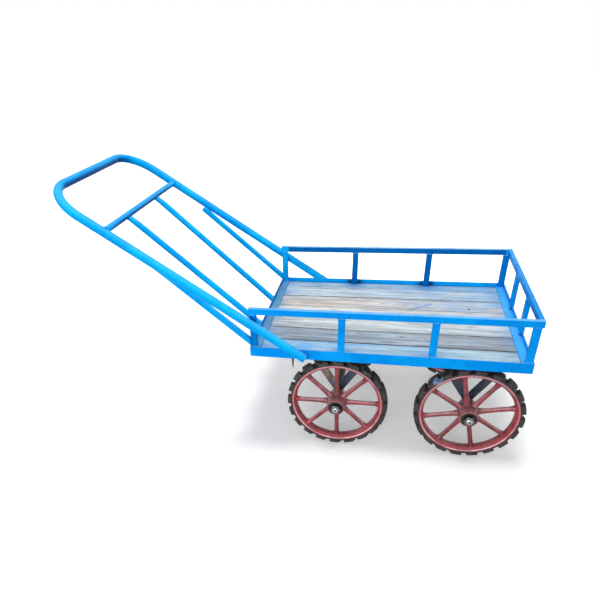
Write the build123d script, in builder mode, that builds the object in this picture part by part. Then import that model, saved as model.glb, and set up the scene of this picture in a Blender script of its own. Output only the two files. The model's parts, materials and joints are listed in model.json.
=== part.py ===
# Four-wheeled hand cart: angle-iron deck with plank floor, tube rails, U-bent pipe handle
# and cast spoked wheels with lugged rubber tyres.
# Millimetres. +X runs from the handle to the closed end, -Y is the near side, +Z is up.
# The origin is on the floor, under the middle of the whole cart.
import os
from math import cos, radians, sin, sqrt

from build123d import *

os.makedirs("parts", exist_ok=True)

# Deck frame
deck_length = 1000.0
deck_width = 700.0
angle_leg = 40.0
angle_wall = 4.0
angle_root = 2.0
cross_member_count = 2

# Planks and the strips that hold their ends down
plank_width = 103.0
plank_thickness = 18.0
plank_gap = 2.0
plank_edge_gap = 3.0
plank_easing = 1.5
filler_least_width = 20.0
strip_width = 31.0
strip_thickness = 4.0

# Rails and posts: flat tube, its wide face looking outwards
tube_face = 25.0
tube_depth = 16.0
tube_wall = 1.5
tube_corner = 1.5
rail_height = 200.0
rail_overhang = 3.0
end_rail_overhang = 2.0
side_bays = 3
side_post_shift = 7.0
end_bays = 3

# Handle
handle_pipe = 34.0
handle_pipe_wall = 2.6
handle_slope = 33.3
handle_length = 1121.0
handle_foot_inset = 215.0
handle_foot_rise = 12.5
handle_bend_radius = 145.0
cross_bar = 25.0
cross_bar_distance = 872.0
rod = 25.0
rod_flat = 15.0
rod_flat_length = 75.0
near_rod_top = 159.0
near_rod_foot = 135.0
far_rod_top = 130.0
far_rod_foot = 118.0
rod_foot_rise = 24.0
brace_side = 20.0
brace_distance = 690.0
brace_drop = 16.0
near_brace_foot_rise = 61.0
far_brace_foot_rise = 46.0

# Wheels
tyre_diameter = 400.0
tyre_width = 52.0
tyre_clearance = 22.0
tread_depth = 15.0
lug_count = 20
lug_gap = 12.0
lug_slant = 20.0
rim_diameter = 360.0
rim_width = 48.0
rim_thickness = 17.0
spoke_count = 8
spoke_root = 25.0
spoke_tip = 16.0
spoke_easing = 5.0
hub_length = 100.0
hub_diameter = 70.0
wheel_inset = 57.0
handle_axle_inset = 333.0
closed_axle_inset = 170.0
near_handle_turn = -1.0
near_closed_turn = -12.0
far_handle_turn = 17.0
far_closed_turn = 31.0

# Axles, bearings and hangers
axle_shaft = 30.0
axle_journal = 24.0
axle_tip = 6.0
bearing_diameter = 58.0
bearing_recess = 1.0
nut_across_flats = 36.0
nut_height = 16.0
hanger_leg = 32.0
hanger_wall = 4.0
hanger_slope = 33.0
hanger_toe = 10.0
hanger_clearance = 10.0

# Stud under the near side
stud_inset = 165.0
stud_side_inset = 9.0
stud_length = 45.0
stud_top = 9.0
stud_tip = 2.5

# Clearances
weld_gap = 0.3
running_gap = 0.05

# Heights
axle_z = tyre_diameter / 2
frame_z = tyre_diameter + tyre_clearance
flange_z = frame_z + angle_wall
plank_z = flange_z + plank_thickness
strip_z = plank_z + strip_thickness
rail_z = frame_z + rail_height
post_top_z = rail_z - tube_face

# Deck position that centres the whole cart on the origin, from the grip to the rearmost point
slope = radians(handle_slope)
grip_reach = handle_length * cos(slope) + handle_pipe / 2 - handle_foot_inset
closed_reach = deck_length + max(tyre_diameter / 2 - closed_axle_inset, 0)
deck_x0 = (grip_reach - closed_reach) / 2
deck_x1 = deck_x0 + deck_length
side_y = deck_width / 2
lip_y = side_y - angle_wall
post_y = lip_y - tube_depth / 2
post_x0 = deck_x0 + angle_wall + tube_face / 2
post_x1 = deck_x1 - angle_wall - tube_face / 2

# Handle lines: both legs lie flat against the deck sides
leg_y = side_y + handle_pipe / 2 + weld_gap
handle_foot = Vector(deck_x0 + handle_foot_inset, 0, frame_z + handle_foot_rise)
handle_along = Vector(-cos(slope), 0, sin(slope))
handle_up = Vector(sin(slope), 0, cos(slope))

# Wheel, bearing and hanger positions, measured across the cart
wheel_y = side_y - wheel_inset
bearing_length = hub_length - 2 * bearing_recess
bearing_y0 = wheel_y - bearing_length / 2
bearing_y1 = wheel_y + bearing_length / 2
axle_end_y = bearing_y1 + nut_height + axle_tip
hanger_y = wheel_y - hub_length / 2 - hanger_clearance
bearer_y = hanger_y - hanger_wall

sides = {"near": -1, "far": 1}
axle_x = {
    "handle": deck_x0 + handle_axle_inset,
    "closed": deck_x1 - closed_axle_inset,
}
wheel_turn = {
    ("near", "handle"): near_handle_turn,
    ("near", "closed"): near_closed_turn,
    ("far", "handle"): far_handle_turn,
    ("far", "closed"): far_closed_turn,
}


def save(piece, name):
    """Label a finished piece and write it as its own file."""
    piece.label = name
    export_step(piece, f"parts/{name}.step")


def angle_bar(plane, length, leg, wall, root):
    """Angle iron along the plane's normal, its outer corner on the plane's origin."""
    with BuildPart() as bar:
        with BuildSketch(plane):
            with BuildLine():
                Polyline((0, 0), (leg, 0), (leg, wall), (wall, wall), (wall, leg), (0, leg), close=True)
            make_face()
        extrude(amount=length)
        root_edge = bar.edges().filter_by(Axis(plane.origin, plane.z_dir))
        inner_corner = plane.from_local_coords((wall, wall, length / 2))
        fillet(root_edge.sort_by_distance(inner_corner)[0], radius=root)
    return bar.part


def box_tube(plane, length, width, depth):
    """Flat or square tube along the plane's normal, centred on the plane's origin."""
    with BuildPart() as tube:
        with BuildSketch(plane) as section:
            Rectangle(width, depth)
            chamfer(section.vertices(), length=tube_corner)
            Rectangle(width - 2 * tube_wall, depth - 2 * tube_wall, mode=Mode.SUBTRACT)
        extrude(amount=length)
    return tube.part


def round_bar(start, end, diameter):
    """Round bar from one point to another."""
    span = Vector(end) - Vector(start)
    with BuildPart() as bar:
        with BuildSketch(Plane(origin=start, z_dir=span)):
            Circle(diameter / 2)
        extrude(amount=span.length)
    return bar.part


# Side angles: upright leg outside, flange inwards under the planks
near_side_plane = Plane(origin=(deck_x0, -side_y, frame_z), x_dir=(0, 1, 0), z_dir=(1, 0, 0))
far_side_plane = Plane(origin=(deck_x1, side_y, frame_z), x_dir=(0, -1, 0), z_dir=(-1, 0, 0))
save(angle_bar(near_side_plane, deck_length, angle_leg, angle_wall, angle_root), "side_angle_near")
save(angle_bar(far_side_plane, deck_length, angle_leg, angle_wall, angle_root), "side_angle_far")

# End angles: between the side angles, notched at both ends over the side flanges
end_half = lip_y - angle_root
end_planes = {
    "handle": Plane(origin=(deck_x0, end_half, frame_z), x_dir=(1, 0, 0), z_dir=(0, -1, 0)),
    "closed": Plane(origin=(deck_x1, -end_half, frame_z), x_dir=(-1, 0, 0), z_dir=(0, 1, 0)),
}
for end, plane in end_planes.items():
    with BuildPart() as end_angle:
        add(angle_bar(plane, 2 * end_half, angle_leg, angle_wall, angle_root))
        with Locations((plane.origin.X, -side_y, frame_z), (plane.origin.X, side_y, frame_z)):
            Box(2 * angle_leg, 2 * angle_leg, 2 * angle_wall, mode=Mode.SUBTRACT)
    save(end_angle.part, f"end_angle_{end}")

# Bearers: flange up under the planks, upright leg hanging down for the axle hangers
bearer_length = deck_length - 2 * angle_leg
bearer_planes = {
    "near": Plane(origin=(deck_x1 - angle_leg, -bearer_y, flange_z), x_dir=(0, 1, 0), z_dir=(-1, 0, 0)),
    "far": Plane(origin=(deck_x0 + angle_leg, bearer_y, flange_z), x_dir=(0, -1, 0), z_dir=(1, 0, 0)),
}
for side, plane in bearer_planes.items():
    save(angle_bar(plane, bearer_length, angle_leg, angle_wall, angle_root), f"bearer_{side}")

# Cross members between the bearers' flanges
cross_half = bearer_y - angle_leg
cross_pitch = deck_length / (cross_member_count + 1)
for number in range(1, cross_member_count + 1):
    corner = (deck_x0 + number * cross_pitch - angle_leg / 2, -cross_half, flange_z)
    plane = Plane(origin=corner, x_dir=(1, 0, 0), z_dir=(0, 1, 0))
    save(angle_bar(plane, 2 * cross_half, angle_leg, angle_wall, angle_root), f"cross_member_{number}")

# Planks: full boards from the near side, then a filler ripped to what is left
floor_width = 2 * (lip_y - plank_edge_gap)
plank_pitch = plank_width + plank_gap
full_planks = int((floor_width + plank_gap) // plank_pitch)
left_over = floor_width - full_planks * plank_pitch
plank_widths = [plank_width] * full_planks
if left_over >= filler_least_width:
    plank_widths.append(left_over)
plank_length = deck_length - 2 * (angle_wall + plank_edge_gap)
plank_start = -floor_width / 2
for number, width in enumerate(plank_widths, start=1):
    middle = ((deck_x0 + deck_x1) / 2, plank_start + width / 2)
    with BuildPart() as plank:
        with BuildSketch(Plane.XY.offset(flange_z)):
            with Locations(middle):
                Rectangle(plank_length, width)
        extrude(amount=plank_thickness)
        chamfer(plank.faces().sort_by(Axis.Z)[-1].edges().filter_by(Axis.X), length=plank_easing)
    save(plank.part, f"plank_{number}")
    plank_start += width + plank_gap

# Hold-down strips over the plank ends
strip_middle = {
    "handle": deck_x0 + angle_wall + strip_width / 2,
    "closed": deck_x1 - angle_wall - strip_width / 2,
}
for end, middle_x in strip_middle.items():
    with BuildPart() as strip:
        with BuildSketch(Plane.XY.offset(plank_z)):
            with Locations((middle_x, 0)):
                Rectangle(strip_width, 2 * (lip_y - weld_gap))
        extrude(amount=strip_thickness)
    save(strip.part, f"hold_strip_{end}")

# Posts: corner posts stand on the strips, side posts on the planks, end posts on the closed-end angle
for side, sign in sides.items():
    for end, x in (("handle", post_x0), ("closed", post_x1)):
        foot = Plane(origin=(x, sign * post_y, strip_z))
        save(box_tube(foot, post_top_z - strip_z, tube_face, tube_depth), f"corner_post_{side}_{end}")
    bay = (post_x1 - post_x0) / side_bays
    for number in range(1, side_bays):
        foot = Plane(origin=(post_x0 + number * bay + side_post_shift, sign * post_y, plank_z))
        save(box_tube(foot, post_top_z - plank_z, tube_face, tube_depth), f"side_post_{side}_{number}")
end_rail_x = deck_x1 + end_rail_overhang - tube_depth / 2
end_bay = 2 * post_y / end_bays
angle_top_z = frame_z + angle_leg
for number in range(1, end_bays):
    foot = Plane(origin=(end_rail_x, number * end_bay - post_y, angle_top_z))
    save(box_tube(foot, post_top_z - angle_top_z, tube_depth, tube_face), f"end_post_{number}")

# Rails on the posts: two long sides and the closed end
rail_middle_z = rail_z - tube_face / 2
rail_start = deck_x0 + angle_wall - rail_overhang
rail_stop = deck_x1 + end_rail_overhang
for side, sign in sides.items():
    start = Plane(origin=(rail_start, sign * post_y, rail_middle_z), x_dir=(0, 1, 0), z_dir=(1, 0, 0))
    save(box_tube(start, rail_stop - rail_start, tube_depth, tube_face), f"side_rail_{side}")
end_rail_half = post_y - tube_depth / 2
end_rail_start = Plane(origin=(end_rail_x, -end_rail_half, rail_middle_z), x_dir=(1, 0, 0), z_dir=(0, 1, 0))
save(box_tube(end_rail_start, 2 * end_rail_half, tube_depth, tube_face), "end_rail")

# Handle: one pipe bent into a U, in a plane that rises from the deck sides
def leg_point(distance, sign):
    """Middle of a handle leg at a distance up from its foot."""
    return handle_foot + handle_along * distance + Vector(0, sign * leg_y, 0)


bore_stop = handle_length - handle_bend_radius
with BuildPart() as handle_tube:
    with BuildLine() as handle_path:
        Polyline(leg_point(0, -1), leg_point(handle_length, -1), leg_point(handle_length, 1), leg_point(0, 1))
        fillet(handle_path.vertices().sort_by(Axis.X)[:2], radius=handle_bend_radius)
    with BuildSketch(Plane(origin=leg_point(0, -1), z_dir=handle_along)):
        Circle(handle_pipe / 2)
    sweep()
    for sign in sides.values():
        bore = handle_pipe - 2 * handle_pipe_wall
        add(round_bar(leg_point(0, sign), leg_point(bore_stop, sign), bore), mode=Mode.SUBTRACT)
save(handle_tube.part, "handle_tube")

# Cross bar between the legs, its ends shaped to the pipes
bar_middle = handle_foot + handle_along * cross_bar_distance
with BuildPart() as handle_cross_bar:
    with BuildSketch(Plane(origin=bar_middle, z_dir=(0, 1, 0))):
        Circle(cross_bar / 2)
    extrude(amount=leg_y, both=True)
    for sign in sides.values():
        leg_ends = [leg_point(at, sign) for at in (0, handle_length)]
        add(round_bar(*leg_ends, handle_pipe + 2 * weld_gap), mode=Mode.SUBTRACT)
save(handle_cross_bar.part, "handle_cross_bar")

# Rods from the cross bar down to the outer face of the handle-end angle, hammered flat at the top
rod_spread = {
    "near": (near_rod_top, near_rod_foot),
    "far": (far_rod_top, far_rod_foot),
}
for side, sign in sides.items():
    top_y, foot_y = rod_spread[side]
    top = bar_middle + Vector(0, sign * top_y, 0)
    foot = Vector(deck_x0, sign * foot_y, frame_z + rod_foot_rise)
    along = (foot - top).normalized()
    above = along.cross(Vector(0, 1, 0)).normalized()
    flat_start = top + above * (rod_flat - rod / 2)
    flat_span = along * rod_flat_length + above * (rod - rod_flat)
    flat = Plane(origin=flat_start, x_dir=flat_span, z_dir=flat_span.cross(Vector(0, 1, 0)))
    with BuildPart() as handle_rod:
        add(round_bar(top, foot + along * 2 * rod, rod))
        with Locations(flat.location):
            Box(
                2 * flat_span.length,
                2 * rod,
                2 * rod,
                align=(Align.CENTER, Align.CENTER, Align.MIN),
                mode=Mode.SUBTRACT,
            )
        with Locations((deck_x0, foot.Y, foot.Z)):
            Box(8 * rod, 8 * rod, 8 * rod, align=(Align.MIN, Align.CENTER, Align.CENTER), mode=Mode.SUBTRACT)
        bar_ends = [bar_middle + Vector(0, reach, 0) for reach in (-leg_y, leg_y)]
        add(round_bar(*bar_ends, cross_bar + 2 * weld_gap), mode=Mode.SUBTRACT)
    save(handle_rod.part, f"handle_rod_{side}")

# Braces: upper end square cut and against the inside of the leg, foot on the corner post and end angle
brace_shoulder = brace_drop - brace_side / 2 + tube_corner
brace_clear = sqrt(max((handle_pipe / 2 + weld_gap) ** 2 - brace_shoulder**2, 0))
brace_y = leg_y - brace_clear - brace_side / 2
brace_foot_rise = {
    "near": near_brace_foot_rise,
    "far": far_brace_foot_rise,
}
for side, sign in sides.items():
    top = leg_point(brace_distance, sign) - handle_up * brace_drop
    top.Y = sign * brace_y
    foot = Vector(deck_x0 + angle_wall, sign * brace_y, frame_z + brace_foot_rise[side])
    plane = Plane(origin=top, x_dir=(0, 1, 0), z_dir=foot - top)
    with BuildPart() as handle_brace:
        add(box_tube(plane, (foot - top).length + 2 * brace_side, brace_side, brace_side))
        for edge, above in ((foot, Align.CENTER), (Vector(deck_x0, foot.Y, angle_top_z), Align.MAX)):
            with Locations(edge):
                Box(
                    6 * brace_side,
                    6 * brace_side,
                    6 * brace_side,
                    align=(Align.MIN, Align.CENTER, above),
                    mode=Mode.SUBTRACT,
                )
    save(handle_brace.part, f"handle_brace_{side}")

# Axle hangers: two angle legs in a V over each axle end, lapped on the bearer
hanger_tilt = radians(hanger_slope)
hanger_reach = (frame_z - axle_z + hanger_toe) / cos(hanger_tilt) + hanger_leg
hanger_cope_z = flange_z - angle_leg - weld_gap
cut_size = 2 * (frame_z + hanger_leg)


def hanger_solid(x, sign, lean):
    """One leg of a hanger: lean is -1 towards the handle and 1 towards the closed end."""
    toe = Vector(x, sign * hanger_y, axle_z - hanger_toe)
    along = Vector(lean * sin(hanger_tilt), 0, cos(hanger_tilt))
    inwards = Vector(0, -sign, 0)
    towards_middle = Vector(-lean * cos(hanger_tilt), 0, sin(hanger_tilt))
    rising = inwards.cross(towards_middle).dot(along) > 0
    start = toe if rising else toe + along * hanger_reach
    plane = Plane(origin=start, x_dir=inwards, z_dir=along if rising else along * -1)
    with BuildPart() as leg:
        add(angle_bar(plane, hanger_reach, hanger_leg, hanger_wall, angle_root))
        with Locations((x, sign * hanger_y, frame_z)):
            Box(
                cut_size,
                cut_size,
                cut_size,
                align=(Align.CENTER, Align.CENTER, Align.MIN),
                mode=Mode.SUBTRACT,
            )
        beside = Align.MAX if lean > 0 else Align.MIN
        with Locations((x + lean * weld_gap / 2, sign * hanger_y, axle_z)):
            Box(cut_size, cut_size, cut_size, align=(beside, Align.CENTER, Align.CENTER), mode=Mode.SUBTRACT)
        behind = Align.MIN if sign < 0 else Align.MAX
        with Locations((x, sign * bearer_y, hanger_cope_z)):
            Box(
                cut_size,
                cut_size,
                cut_size,
                align=(Align.CENTER, behind, Align.MIN),
                mode=Mode.SUBTRACT,
            )
        eye_ends = [Vector(x, sign * (hanger_y + reach), axle_z) for reach in (-2 * hanger_leg, hanger_leg)]
        add(round_bar(*eye_ends, axle_shaft + 2 * weld_gap), mode=Mode.SUBTRACT)
    return leg.part


for side, sign in sides.items():
    for end, x in axle_x.items():
        hanger = Compound(children=[hanger_solid(x, sign, -1), hanger_solid(x, sign, 1)])
        save(hanger, f"axle_hanger_{side}_{end}")

# Axles: shaft welded into the hangers, turned down at both ends for the bearings and nuts
for end, x in axle_x.items():
    with BuildPart() as axle:
        with BuildSketch(Plane(origin=(x, 0, axle_z))):
            with BuildLine():
                Polyline(
                    (0, -axle_end_y),
                    (axle_journal / 2, -axle_end_y),
                    (axle_journal / 2, -bearing_y0),
                    (axle_shaft / 2, -bearing_y0),
                    (axle_shaft / 2, bearing_y0),
                    (axle_journal / 2, bearing_y0),
                    (axle_journal / 2, axle_end_y),
                    (0, axle_end_y),
                    close=True,
                )
            make_face()
        revolve(axis=Axis((x, 0, axle_z), (0, 1, 0)))
    save(axle.part, f"axle_{end}")

# Sealed bearings, clamped on the axles between shoulder and nut, that the hubs turn on
with BuildPart() as wheel_bearings:
    for sign in sides.values():
        for x in axle_x.values():
            with BuildSketch(Plane(origin=(x, sign * bearing_y0, axle_z), z_dir=(0, sign, 0))):
                Circle(bearing_diameter / 2)
                Circle(axle_journal / 2 + running_gap, mode=Mode.SUBTRACT)
            extrude(amount=bearing_length)
save(wheel_bearings.part, "wheel_bearings")

# Nuts on the axle ends
with BuildPart() as axle_nuts:
    for sign in sides.values():
        for x in axle_x.values():
            with BuildSketch(Plane(origin=(x, sign * bearing_y1, axle_z), z_dir=(0, sign, 0))):
                RegularPolygon(nut_across_flats / 2, 6, major_radius=False)
                Circle(axle_journal / 2 + running_gap, mode=Mode.SUBTRACT)
            extrude(amount=nut_height)
save(axle_nuts.part, "axle_nuts")

# Cast wheel in its own frame: axis on Y, spoke plane through the middle.
# Rim and tyre are rings of flats, two to each lug, and the hub has three flats to each spoke.
ring_sides = 2 * lug_count
hub_sides = 3 * spoke_count
rim_r = rim_diameter / 2
rim_inner_r = rim_r - rim_thickness
spoke_start = bearing_diameter / 2
spoke_length = rim_inner_r + rim_thickness / 4 - spoke_start
spoke_taper = (spoke_root - spoke_tip) / 2
with BuildPart() as spoke:
    Wedge(
        spoke_root,
        spoke_length,
        spoke_root,
        spoke_taper,
        spoke_taper,
        spoke_root - spoke_taper,
        spoke_root - spoke_taper,
        align=(Align.CENTER, Align.MIN, Align.CENTER),
    )
    chamfer(spoke.edges().sort_by(SortBy.LENGTH)[-4:], length=spoke_easing)
with BuildPart() as cast_wheel:
    with BuildSketch(Plane.XZ):
        RegularPolygon(rim_r, ring_sides)
        RegularPolygon(rim_inner_r, ring_sides, False, rotation=180 / ring_sides, mode=Mode.SUBTRACT)
    extrude(amount=rim_width / 2, both=True)
    with BuildSketch(Plane.XZ):
        RegularPolygon(hub_diameter / 2, hub_sides, False, rotation=180 / hub_sides)
    extrude(amount=hub_length / 2, both=True)
    for number in range(spoke_count):
        turned = Location((0, 0, 0), (0, number * 360 / spoke_count, 0))
        add(spoke.part.moved(turned * Location((0, 0, spoke_start), (90, 0, 0))))
    with BuildSketch(Plane.XZ):
        Circle(bearing_diameter / 2 + running_gap)
    extrude(amount=hub_length / 2, both=True, mode=Mode.SUBTRACT)

# Tyre in the wheel's frame: a ring with two rows of slanted lugs, half a pitch apart
tyre_r = tyre_diameter / 2
lug_pitch = 360 / lug_count
with BuildPart() as tyre:
    with BuildSketch(Plane.XZ):
        RegularPolygon(tyre_r, ring_sides)
        RegularPolygon(rim_r + weld_gap, ring_sides, major_radius=False, mode=Mode.SUBTRACT)
    extrude(amount=tyre_width / 2, both=True)
    for sign, stagger in ((-1, lug_pitch / 2), (1, 0)):
        for number in range(lug_count):
            around = Location((0, sign * tyre_width / 2, 0), (0, number * lug_pitch + stagger, 0))
            slanted = Location((0, 0, tyre_r - tread_depth), (0, 0, sign * lug_slant))
            with Locations(around * slanted):
                Box(
                    lug_gap,
                    tyre_width,
                    2 * tread_depth,
                    align=(Align.CENTER, Align.CENTER, Align.MIN),
                    mode=Mode.SUBTRACT,
                )

# Four copies of the wheel and tyre, each wheel at its own angle
for (side, end), turn in wheel_turn.items():
    middle = (axle_x[end], sides[side] * wheel_y, axle_z)
    save(cast_wheel.part.moved(Location(middle, (0, turn, 0))), f"cast_wheel_{side}_{end}")
    save(tyre.part.moved(Location(middle)), f"tyre_{side}_{end}")

# Four-sided spike welded under the near side angle, point down
with BuildPart() as tie_stud:
    stud_taper = (stud_top - stud_tip) / 2
    with Locations(Location((deck_x0 + stud_inset, stud_side_inset - side_y, frame_z), (-90, 0, 0))):
        Wedge(
            stud_top,
            stud_length,
            stud_top,
            stud_taper,
            stud_taper,
            stud_top - stud_taper,
            stud_top - stud_taper,
            align=(Align.CENTER, Align.MIN, Align.CENTER),
        )
save(tie_stud.part, "tie_stud")
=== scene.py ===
# Looks of the hand cart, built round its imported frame. Metres, in the frame's own axes.
import json
import math
import random

import bmesh
import bpy
from mathutils import Matrix, Vector, noise

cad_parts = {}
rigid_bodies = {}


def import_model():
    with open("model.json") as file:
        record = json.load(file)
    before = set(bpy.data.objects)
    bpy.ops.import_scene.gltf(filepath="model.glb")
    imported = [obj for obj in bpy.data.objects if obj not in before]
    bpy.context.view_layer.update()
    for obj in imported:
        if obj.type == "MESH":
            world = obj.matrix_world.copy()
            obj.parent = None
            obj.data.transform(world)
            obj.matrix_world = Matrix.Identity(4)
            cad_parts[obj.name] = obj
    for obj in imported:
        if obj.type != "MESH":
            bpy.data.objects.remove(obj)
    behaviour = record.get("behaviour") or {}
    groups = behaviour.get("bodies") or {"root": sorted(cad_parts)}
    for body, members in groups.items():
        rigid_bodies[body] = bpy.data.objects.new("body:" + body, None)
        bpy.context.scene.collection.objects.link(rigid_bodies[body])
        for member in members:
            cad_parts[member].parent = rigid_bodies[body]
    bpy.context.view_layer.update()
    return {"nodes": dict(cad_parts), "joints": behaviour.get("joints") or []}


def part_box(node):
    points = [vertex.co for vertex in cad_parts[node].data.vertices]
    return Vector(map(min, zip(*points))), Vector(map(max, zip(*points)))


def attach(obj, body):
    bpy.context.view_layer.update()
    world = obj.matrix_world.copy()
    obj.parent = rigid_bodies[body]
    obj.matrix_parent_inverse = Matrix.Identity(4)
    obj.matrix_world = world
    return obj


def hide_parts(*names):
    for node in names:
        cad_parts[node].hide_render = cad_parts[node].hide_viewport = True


for left_over in list(bpy.data.objects):
    bpy.data.objects.remove(left_over)
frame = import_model()
nodes = frame["nodes"]

# The cart's two sides, each with its sign of Y, and its two ends
SIDES = {"near": -1, "far": 1}
ENDS = ("handle", "closed")

# Camera, worked out from the photograph: turned in degrees, its lens and sensor in millimetres
CAMERA_PLACE = (0.3376, -2.0928, 1.4761)
CAMERA_TURN = (56.936, 4.239, 14.406)
CAMERA_LENS = 32.085
CAMERA_SENSOR = 36
CAMERA_SHIFT = (0.1009, 0.1371)

# Light: lamps with their place, size and power, all aimed at one point, and a pale sky
LAMP_AIM = Vector((0.2, 0, 0.4))
LAMPS = {
    "top": ((0.44, -0.18, 3.40), 1.1, 66),
    "front": ((-0.80, -4.30, 0.95), 2.8, 140),
    "back": ((0.70, 4.30, 1.00), 2.8, 64),
}
SKY_TINT = (0.96, 0.98, 1.0, 1.0)
SKY_STRENGTH = 0.33

# Floor: just under the tyres, glowing more and more until it is one with the backdrop
FLOOR_SIZE = 30
FLOOR_DROP = 0.0005
FADE_MIDDLE = (0.25, 0, 0)
FADE_START = 0.95
FADE_STOP = 2.0
SHADOW_GLOW = 0.27

# How far each wheel's spokes and lugs are turned at rest, and how far the lugs lean, in degrees
WHEEL_TURNS = {
    ("near", "handle"): (-1, 16),
    ("near", "closed"): (-12, 7),
    ("far", "handle"): (17, 3),
    ("far", "closed"): (31, 11),
}
LUG_SLANT = {"handle": 27.0, "closed": -15.655}

# Rim: a narrow lip, then a slope in to the flat that the spokes meet
RIM_HALF_WIDTH = 0.024
RIM_THICKNESS = 0.017
RIM_LIP = 0.0075
RIM_FLAT = 0.0105
RIM_SEAT_ROUND = 0.0025
RIM_LIP_ROUND = 0.0048
RIM_FLAT_ROUND = 0.009
RIM_STEPS = 144

# Hub: a barrel with a belly between two tapered ends
HUB_RADIUS = 0.0350
HUB_END_RADIUS = 0.0330
HUB_TAPER = 0.012
HUB_BELLY = 0.003
HUB_BELLY_HALF = 0.016
HUB_MOUTH_ROUND = 0.0006
HUB_END_ROUND = 0.002
HUB_TAPER_ROUND = 0.012
HUB_BELLY_ROUND = 0.02
HUB_STEPS = 64

# Spokes: oval bars that swell into the hub and the rim
SPOKES = 8
SPOKE_WIDTH = 0.0170
SPOKE_DEPTH = 0.0180
SPOKE_SINK = 0.002
SPOKE_ROOT_FLARE = 0.0055
SPOKE_ROOT_FADE = 0.017
SPOKE_TIP_FLARE = 0.0035
SPOKE_TIP_FADE = 0.008
SPOKE_TIP_LIMIT = 1.6
SPOKE_SQUARENESS = 0.8
SPOKE_STEPS = 18
SPOKE_SIDES = 16

# Tyre: a thin carcass under two rows of lugs
TREAD_DEPTH = 0.015
TYRE_CLEARANCE = 0.0003
CARCASS_INSET = 0.0015
CARCASS_SHOULDER = 0.001
CARCASS_CROWN = 0.002
CARCASS_BEAD_ROUND = 0.001
CARCASS_SHOULDER_ROUND = 0.003
CARCASS_STEPS = 120
LUGS = 20
LUG_LENGTH = 0.0490
LUG_SINK = 0.0025
LUG_INSET = 0.0025
LUG_ROUND = 0.0036
LUG_GROOVE_HALF = 0.0015
LUG_ROOT_STEP = 0.001
LUG_ROOT_BELOW = -0.1
LUG_INNER_STRETCH = 1.05
LUG_TAPER = 0.26
LUG_CROWN = 0.0025
LUG_WEAR = 0.0006
LUG_CUTS = (-0.3, -0.1, 0.1, 0.3)

# Bearings: a race in the hub, a cone on the axle and a seal between them
BEARING_RADIUS = 0.0290
BEARING_INSET = 0.001
BEARING_CLEARANCE = 0.0003
BORE_CLEARANCE = 0.0002
RACE_THICKNESS = 0.0026
CONE_THICKNESS = 0.006
SEAL_SINK_AT_RACE = 0.0012
SEAL_SINK_AT_CONE = 0.0004
BEARING_ROUND = 0.0004
BEARING_STEPS = 56

# Nuts: hexagons with a round face, chamfered at thirty degrees
NUT_ACROSS_FLATS = 0.036
NUT_FACE_SHARE = 0.985
NUT_CHAMFER = 0.58
NUT_STEPS = 72

# Axles: a shaft, journals, and threaded ends whose tip is given as radius and distance from the end
SHAFT_RADIUS = 0.0150
JOURNAL_RADIUS = 0.0120
AXLE_CHAMFER = 0.0006
AXLE_TIP = (
    (0.0001, 0.0060),
    (0.0034, 0.0060),
    (0.0042, 0.0010),
    (0.0070, 0.0004),
    (0.0098, 0.0016),
    (0.0112, 0.0030),
)
AXLE_STEPS = 48
THREAD_PITCH = 0.0017
THREAD_DEPTH = 0.0012
THREAD_CREST = 0.0001
THREAD_CREST_AT = 0.35
THREAD_ROOT_AT = 0.85
THREAD_LEAD = 0.0034
THREAD_HIDDEN = 0.004
THREAD_RUNOUT = 0.001
BRIGHT_OVERLAP = 0.002

# Planks: how far their edges waver, their arrises are worn and their tops are uneven
PLANK_ROWS = 90
PLANK_COLUMNS = 14
PLANK_EDGE_COLUMNS = (0.012, 0.03)
PLANK_WAVER = 0.0010
PLANK_WAVER_SCALE = 9
PLANK_ARRIS = 0.0022
PLANK_ARRIS_DROP = 0.55
PLANK_WEAR = 0.0007
PLANK_WEAR_SCALE = (5, 22)
PLANK_SEED_STEP = 1.37

# Marks on the planks, a tyre, a hanger and the post feet, and painted light at the far rail's ends
WIPE_START = Vector((0.4558, 0.0795, 0.4435))
WIPE_END = Vector((0.5345, 0.1366, 0.4435))
WIPE_DABS = 10
NAIL_HOLE = (0.6878, 0.1010, 0.4435)
TYRE_SPLASH = (-0.130, -0.022, 0.150)
HANGER_DAB = (0.1670, -0.2400, 0.2514)
FOOT_MARK_DEPTH = 0.018
LIT_END_OVERRUN = 0.012

# Weld beads: radius of each kind, and how they are drawn
POST_TOP_BEAD = 0.0018
POST_FOOT_BEAD = 0.0030
POST_SIDE_BEAD = 0.0028
CORNER_FOOT_BEAD = 0.0022
END_FOOT_BEAD = 0.0026
END_RAIL_BEAD = 0.0016
BAR_BEAD = 0.0036
ROD_TOP_BEAD = 0.0020
ROD_FOOT_BEAD = 0.0032
LEG_BEAD = 0.0030
BEAD_STEP = 0.0022
BEAD_SIDES = 7
BEAD_RIPPLE = 0.16
BEAD_RIPPLE_TURN = 1.25
BEAD_UNEVENNESS = 0.12
BEAD_TIP_SHARE = 0.45

# Places of the beads on the posts and the end rail
POST_TOP_SINK = 0.0005
POST_BEAD_LIFT = 0.0012
POST_BEAD_OVERRUN = 0.003
POST_SIDE_STOP = 0.002
END_POST_OVERRUN = 0.002
END_FRAME_LIP = 0.004
END_RAIL_INSET = 0.001

# Handle: its slope, its pipe, the rods with their flattened tops, and the beads along the legs
HANDLE_SLOPE = math.radians(33.3)
PIPE_RADIUS = 0.017
BAR_BEAD_INSET = 0.005
ROD_RADIUS = 0.0125
ROD_TOP_HALF_SIZE = (0.0040, 0.0110)
ROD_TOP_INSET = 0.004
ROD_FOOT_GAP = 0.001
LEG_SEAT_GAP = 0.002
LEG_SEAT_HALF = 0.0115
LEG_BEAD_ABOVE = 0.036
LEG_BEAD_BELOW = 0.064
BAR_END_SHARE = 0.06

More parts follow.
